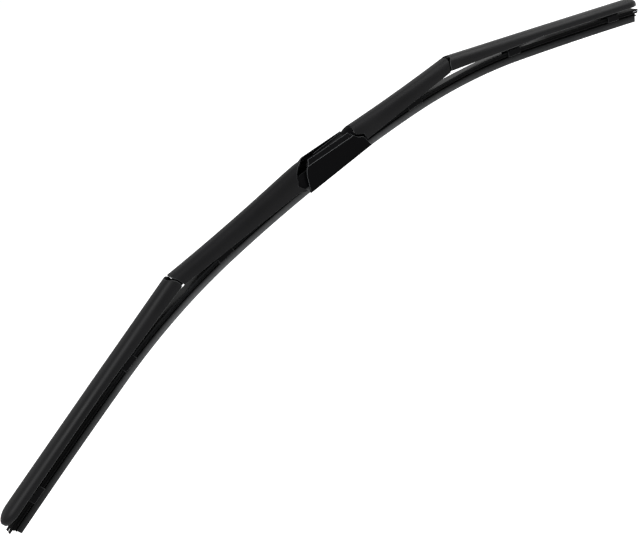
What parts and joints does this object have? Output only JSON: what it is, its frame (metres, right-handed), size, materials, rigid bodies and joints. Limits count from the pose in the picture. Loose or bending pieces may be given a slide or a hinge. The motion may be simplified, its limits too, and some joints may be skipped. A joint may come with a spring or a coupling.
{
  "type": "wiper blade",
  "caption": "Bowed windscreen wiper blade: rubber squeegee with spring strips, held by claws under a covered lever frame with a hook adapter in the middle.",
  "frame": {"origin": "middle of the pivot rivet, where the wiper arm's hook holds the blade", "axes": "+X along the blade towards the latch end of the adapter, +Y across the blade along the pivot rivet, +Z away from the glass"},
  "size_m": [0.644, 0.0162, 0.0903],
  "materials": {
    "adapter_plastic": "satin black moulding",
    "cover_plastic": "finely grained black moulding",
    "claw_plastic": "black moulding",
    "lever_steel": "black powder coat on pressed steel",
    "pin_steel": "plated steel",
    "strip_steel": "rolled spring steel",
    "squeegee_rubber": "dark extruded rubber"
  },
  "bodies": {
    "adapter_body": {"adapter": "adapter_plastic"},
    "bridge": {"primary_lever": "lever_steel", "pivot_rivet": "pin_steel", "centre_cover_left": "cover_plastic", "centre_cover_right": "cover_plastic", "hinge_pin_left": "pin_steel", "hinge_pin_right": "pin_steel", "rubber_element": "squeegee_rubber", "spring_strip_near": "strip_steel", "spring_strip_far": "strip_steel"},
    "arm_left": {"secondary_lever_left": "lever_steel", "outer_cover_left": "cover_plastic", "inner_claw_left": "claw_plastic", "yoke_pin_left": "pin_steel"},
    "rocker_left": {"yoke_left": "lever_steel", "yoke_inner_claw_left": "claw_plastic", "yoke_outer_claw_left": "claw_plastic"},
    "arm_right": {"secondary_lever_right": "lever_steel", "outer_cover_right": "cover_plastic", "inner_claw_right": "claw_plastic", "yoke_pin_right": "pin_steel"},
    "rocker_right": {"yoke_right": "lever_steel", "yoke_inner_claw_right": "claw_plastic", "yoke_outer_claw_right": "claw_plastic"}
  },
  "joints": [
    {"name": "blade_pivot", "type": "hinge", "parent": "adapter_body", "child": "bridge", "pos_m": [0, 0, 0], "axis": [0, 1, 0], "range_deg": [-2.5, 1.2]},
    {"name": "arm_hinge_left", "type": "hinge", "parent": "bridge", "child": "arm_left", "pos_m": [-0.127, 0, -0.0067], "axis": [0, 1, 0], "range_deg": [-4, 4], "stiffness_Nm_per_rad": 2, "deforming": ["rubber_element", "spring_strip_near", "spring_strip_far"]},
    {"name": "arm_hinge_right", "type": "hinge", "parent": "bridge", "child": "arm_right", "pos_m": [0.127, 0, -0.0067], "axis": [0, 1, 0], "range_deg": [-4, 4], "stiffness_Nm_per_rad": 2},
    {"name": "yoke_pivot_left", "type": "hinge", "parent": "arm_left", "child": "rocker_left", "pos_m": [-0.24025, 0, -0.04054], "axis": [0, 1, 0], "range_deg": [-3, 3], "stiffness_Nm_per_rad": 3},
    {"name": "yoke_pivot_right", "type": "hinge", "parent": "arm_right", "child": "rocker_right", "pos_m": [0.24025, 0, -0.04054], "axis": [0, 1, 0], "range_deg": [-3, 3], "stiffness_Nm_per_rad": 3}
  ]
}
